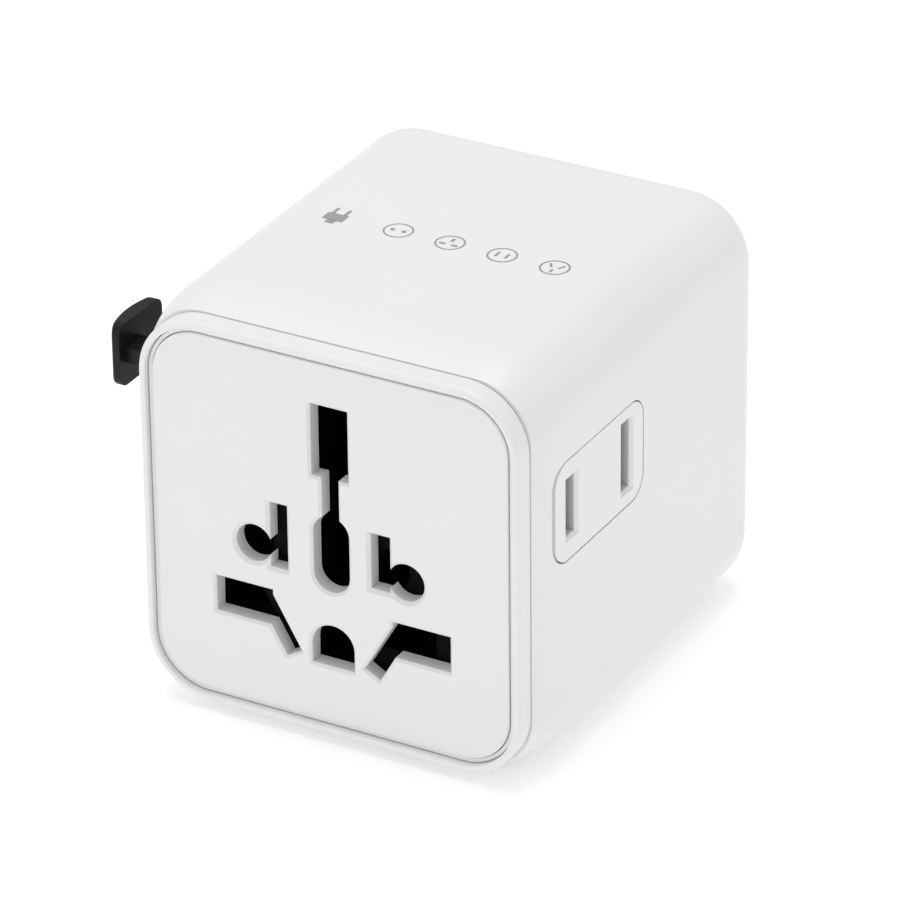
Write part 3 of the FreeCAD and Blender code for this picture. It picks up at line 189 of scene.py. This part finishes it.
BY_SLOT = {
    "white_shell": WHITE_SHELL, "white_face": WHITE_FACE, "black_inner": BLACK_INNER,
    "black_knob": BLACK_KNOB, "black_sleeve": BLACK_SLEEVE, "grey_carriage": GREY_FRAME,
    "ceramic": CERAMIC, "brass_contact": BRASS, "plated_pin": NICKEL, "steel": STEEL,
}
for part in frame["record"]["subparts"]:
    mesh = NODES[part["node"]].data
    mesh.materials.clear()
    mesh.materials.append(BY_SLOT[part["material_slot"]])
NODES["side_socket_insert"].data.materials[0] = SIDE_OUTLET_PAINTED_SHADE

# ---------------------------------------------------------------- coil springs


def shorten_spring(node, body):
    """A copy of a spring piece, attached to the given body in place of the original part."""
    mesh = NODES[node].data.copy()
    mesh.transform(NODES[node].matrix_world)
    coil = bpy.data.objects.new(node + "_coil", mesh)
    bpy.context.scene.collection.objects.link(coil)
    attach(coil, body)
    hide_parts(node)
    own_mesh(coil)


for plug in ("uk", "eu", "us"):
    shorten_spring(f"{plug}_knob_spring", f"{plug}_plug")
shorten_spring("shutter_spring", "shutter")

# ---------------------------------------------------------------- printed pictograms

PRINT_LEVEL, PRINT_THICKNESS = 49.49, 0.03


def circle_points(cx, cy, radius, count=40):
    """Points round a circle, in millimetres."""
    turns = [2 * math.pi * i / count for i in range(count)]
    return [(cx + radius * math.cos(t), cy + radius * math.sin(t)) for t in turns]


def bar_points(cx, cy, width, height, lean=0.0):
    """A rectangle turned by lean degrees about its middle."""
    turn, u, v = math.radians(lean), width / 2, height / 2
    corners = [(-u, -v), (u, -v), (u, v), (-u, v)]
    return [(cx + x * math.cos(turn) - y * math.sin(turn), cy + x * math.sin(turn) + y * math.cos(turn))
            for x, y in corners]


def add_patch(bm, outline):
    """A thin flat patch of ink with the given outline."""
    low = [bm.verts.new((x * MM, y * MM, PRINT_LEVEL * MM)) for x, y in outline]
    high = [bm.verts.new((x * MM, y * MM, (PRINT_LEVEL + PRINT_THICKNESS) * MM)) for x, y in outline]
    bm.faces.new(high)
    bm.faces.new(list(reversed(low)))
    for i in range(len(outline)):
        j = (i + 1) % len(outline)
        bm.faces.new((low[i], low[j], high[j], high[i]))


def add_ring(bm, cx, cy, radius, line):
    """A thin ring of ink."""
    inner, outer = circle_points(cx, cy, radius - line), circle_points(cx, cy, radius)
    rows = []
    for points, height in ((inner, 0), (outer, 0), (outer, PRINT_THICKNESS), (inner, PRINT_THICKNESS)):
        rows.append([bm.verts.new((x * MM, y * MM, (PRINT_LEVEL + height) * MM)) for x, y in points])
    for i in range(len(inner)):
        j = (i + 1) % len(inner)
        for row in range(4):
            first, second = rows[row], rows[(row + 1) % 4]
            bm.faces.new((first[i], first[j], second[j], second[i]))


def print_mark(name, patches, ring=None):
    """One printed mark made of filled patches, with or without a ring round them."""
    bm = bmesh.new()
    for outline in patches:
        add_patch(bm, outline)
    if ring:
        add_ring(bm, *ring)
    bmesh.ops.recalc_face_normals(bm, faces=bm.faces)
    mark_mesh = bpy.data.meshes.new(name)
    bm.to_mesh(mark_mesh)
    bm.free()
    mark_mesh.materials.append(GREY_PRINT)
    mark = bpy.data.objects.new(name, mark_mesh)
    bpy.context.scene.collection.objects.link(mark)
    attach(mark, "casing")


def add_pictograms():
    """A plug, then the four plug faces that the adapter takes, printed in grey on the top."""
    level, radius, line = 0.1, 1.75, 0.22
    plug_x, places = -14.2, (-6.4, 0.1, 6.6, 13.1)
    print_mark("print_plug", [
        bar_points(plug_x, level - 0.35, 2.6, 1.7), bar_points(plug_x, level - 1.55, 1.1, 0.8),
        bar_points(plug_x - 0.75, level + 1.15, 0.4, 1.4), bar_points(plug_x + 0.75, level + 1.15, 0.4, 1.4)])
    faces = {
        "print_two_round_pins": [circle_points(places[0] + x, level, 0.3, 20) for x in (-0.7, 0.7)],
        "print_three_flat_pins": [bar_points(places[1], level + 0.7, 0.4, 0.75)]
        + [bar_points(places[1] + x, level - 0.45, 0.75, 0.4) for x in (-0.75, 0.75)],
        "print_two_blades": [bar_points(places[2] + x, level, 0.3, 1.1) for x in (-0.6, 0.6)],
        "print_slanted_blades": [bar_points(places[3] + x, level + 0.35, 0.28, 0.95, lean)
                                 for x, lean in ((-0.65, 30), (0.65, -30))]
        + [bar_points(places[3], level - 0.85, 0.28, 0.8)],
    }
    for place, (name, patches) in zip(places, faces.items()):
        print_mark(name, patches, (place, level, radius, line))


add_pictograms()

# ---------------------------------------------------------------- floor, light and camera

FLOOR_HALF_SIZE, FLOOR_GLOW = 6, 0.22
STUDIO_STRENGTH = 0.635
WHITE = (1, 1, 1, 1)


def add_floor():
    """A plain pale paper floor that glows a little, so that it stays white round the object."""
    mesh = bpy.data.meshes.new("floor")
    bm = bmesh.new()
    bmesh.ops.create_grid(bm, x_segments=1, y_segments=1, size=FLOOR_HALF_SIZE)
    bm.to_mesh(mesh)
    bm.free()
    floor = bpy.data.objects.new("floor", mesh)
    bpy.context.scene.collection.objects.link(floor)
    s = Shader("floor_paper")
    s.set(Roughness=0.9, Specular_IOR_Level=0.1)
    s.link(s.blend(s.noise(12), (0.97, 0.97, 0.97), (0.955, 0.955, 0.955)), s.bsdf.inputs["Base Color"])
    s.set(Emission_Color=WHITE, Emission_Strength=FLOOR_GLOW)
    mesh.materials.append(s.material)


def add_world():
    """Even white light from all round."""
    world = bpy.data.worlds.new("studio")
    world.use_nodes = True
    background = world.node_tree.nodes["Background"]
    background.inputs["Color"].default_value = WHITE
    background.inputs["Strength"].default_value = STUDIO_STRENGTH
    bpy.context.scene.world = world


def softbox(name, place, target, size, power):
    """A square area light of that size in metres and power in watts, turned to face the target."""
    light = bpy.data.lights.new(name, "AREA")
    light.shape, light.size, light.energy = "SQUARE", size, power
    lamp = bpy.data.objects.new(name, light)
    lamp.location = place
    lamp.rotation_mode = "QUATERNION"
    lamp.rotation_quaternion = (Vector(target) - Vector(place)).to_track_quat("-Z", "Y")
    bpy.context.scene.collection.objects.link(lamp)


add_floor()
add_world()
softbox("softbox_top", (-0.05, 0.05, 0.75), (0, 0, 0.02), 0.5, 2.1)
softbox("softbox_front", (-0.35, -0.65, 0.35), (0, 0, 0.025), 0.4, 0.46)


def add_camera():
    """The photographed viewpoint: from the front right and above, through a long lens."""
    azimuth, elevation, roll = math.radians(29.307), math.radians(28.273), math.radians(-0.63)
    aim = Vector((12.67, -22.83, 37.81)) * MM
    distance, lens = 0.6625, 248.4
    back = Vector((math.sin(azimuth) * math.cos(elevation), -math.cos(azimuth) * math.cos(elevation),
                   math.sin(elevation)))
    right = Vector((math.cos(azimuth), math.sin(azimuth), 0))
    up = back.cross(right)
    turned_right = math.cos(roll) * right + math.sin(roll) * up
    turned_up = math.cos(roll) * up - math.sin(roll) * right
    data = bpy.data.cameras.new("camera")
    data.sensor_width, data.lens = 36, lens
    data.clip_start, data.clip_end = 0.01, 20
    camera = bpy.data.objects.new("camera", data)
    axes = Matrix((turned_right, turned_up, back)).transposed().to_4x4()
    camera.matrix_world = Matrix.Translation(aim + back * distance) @ axes
    bpy.context.scene.collection.objects.link(camera)
    bpy.context.scene.camera = camera


add_camera()
bpy.context.scene.view_settings.view_transform = "Standard"
